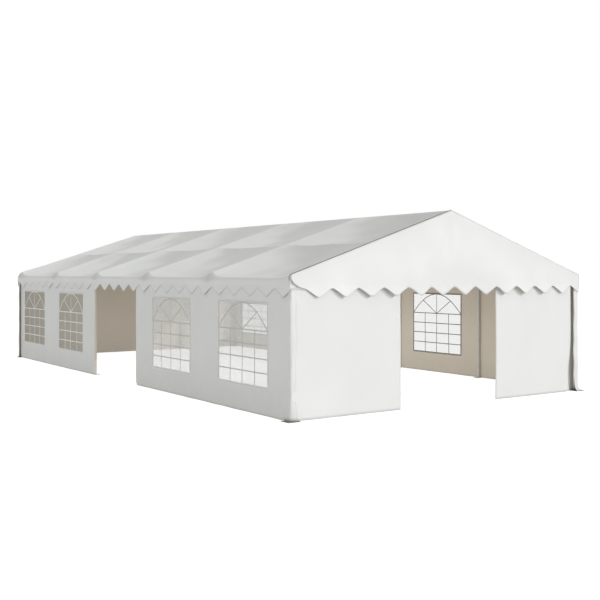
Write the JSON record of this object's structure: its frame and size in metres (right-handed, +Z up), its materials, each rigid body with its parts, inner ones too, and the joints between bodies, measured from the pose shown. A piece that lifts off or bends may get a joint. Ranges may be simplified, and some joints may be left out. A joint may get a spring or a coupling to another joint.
{
  "type": "marquee tent",
  "caption": "Gabled frame marquee with a white fabric roof, scalloped valances, windowed side walls and an open doorway in the front and on each long side.",
  "frame": {"origin": "ground level in the middle of the plan", "axes": "+Y along the ridge from the front gable to the rear one, +X to the right seen from the front, +Z up"},
  "size_m": [6.1368, 12.1414, 3.0199],
  "materials": {
    "galvanised_steel": "dull zinc",
    "white_sheet": "coated, semi-matt",
    "clear_film": "clear, flexible"
  },
  "bodies": {
    "root": {"eave_beam_left": "galvanised_steel", "eave_beam_right": "galvanised_steel", "film_left_front": "clear_film", "film_left_rear": "clear_film", "film_right_front": "clear_film", "film_right_rear": "clear_film", "gable_frame_front": "galvanised_steel", "gable_frame_rear": "galvanised_steel", "gable_front": "white_sheet", "gable_rear": "white_sheet", "panel_front_left": "white_sheet", "panel_front_right": "white_sheet", "post_left_1": "galvanised_steel", "post_left_2": "galvanised_steel", "post_left_3": "galvanised_steel", "post_left_4": "galvanised_steel", "post_left_5": "galvanised_steel", "post_left_6": "galvanised_steel", "post_right_1": "galvanised_steel", "post_right_2": "galvanised_steel", "post_right_3": "galvanised_steel", "post_right_4": "galvanised_steel", "post_right_5": "galvanised_steel", "post_right_6": "galvanised_steel", "purlin_left": "galvanised_steel", "purlin_right": "galvanised_steel", "rafter_pair_1": "galvanised_steel", "rafter_pair_2": "galvanised_steel", "rafter_pair_3": "galvanised_steel", "rafter_pair_4": "galvanised_steel", "rafter_pair_5": "galvanised_steel", "rafter_pair_6": "galvanised_steel", "ridge_beam": "galvanised_steel", "roof_left": "white_sheet", "roof_right": "white_sheet", "valance_left": "white_sheet", "valance_right": "white_sheet", "wall_left_front": "white_sheet", "wall_left_rear": "white_sheet", "wall_rear": "white_sheet", "wall_right_front": "white_sheet", "wall_right_rear": "white_sheet"}
  },
  "joints": []
}
